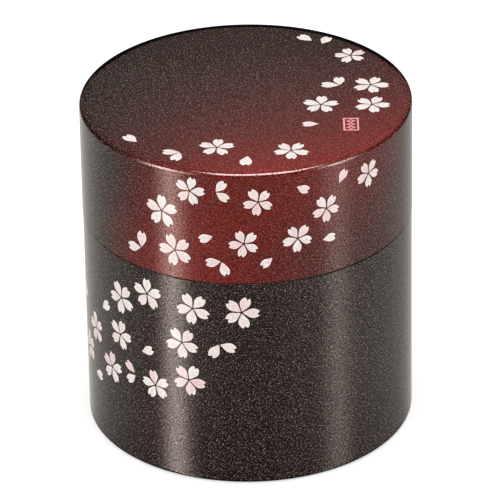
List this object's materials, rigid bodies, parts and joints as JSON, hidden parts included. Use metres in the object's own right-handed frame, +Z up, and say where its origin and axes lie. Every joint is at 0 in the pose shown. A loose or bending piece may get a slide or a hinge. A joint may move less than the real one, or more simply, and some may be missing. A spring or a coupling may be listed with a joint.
{
  "type": "tea caddy",
  "caption": "Round lacquered caddy for loose tea leaves, with a flush lift-off outer lid sliding on a tall inner neck and a knobbed inner lid.",
  "frame": {"origin": "centre of the foot ring, on the surface that the caddy stands on", "axes": "+Z up along the caddy's axis, towards the lid; -Y is the front, in the middle of the lid's red patch"},
  "size_m": [0.08, 0.08, 0.0845],
  "materials": {
    "lid_lacquer": "semi-gloss urethane lacquer, deep red fading to black-brown, with fine gold-copper flecks",
    "body_lacquer": "semi-gloss urethane lacquer, black-brown with fine gold-copper flecks",
    "inner_black": "smooth black lacquer",
    "inner_lid_black": "smooth black lacquer",
    "knob_black": "polished black lacquer",
    "base_black": "fine satin texture",
    "gasket": "translucent white silicone",
    "blossom_print": "raised cream and pale pink pearl print under clear lacquer"
  },
  "bodies": {
    "canister": {"body_shell": "body_lacquer", "base_disc": "base_black", "inner_canister": "inner_black"},
    "inner_lid": {"inner_lid_plate": "inner_lid_black", "inner_lid_gasket": "gasket", "inner_lid_knob": "knob_black"},
    "lid": {"lid_shell": "lid_lacquer", "lid_lining": "inner_black"}
  },
  "joints": [
    {"name": "lid_lift", "type": "slide", "parent": "canister", "child": "lid", "axis": [0, 0, 1], "range_m": [0, 0.15]},
    {"name": "inner_lid_lift", "type": "slide", "parent": "canister", "child": "inner_lid", "axis": [0, 0, 1], "range_m": [0, 0.075]}
  ],
  "couplings": [
    {"joint": "inner_lid_lift", "follows": "lid_lift", "ratio": 0.5}
  ]
}
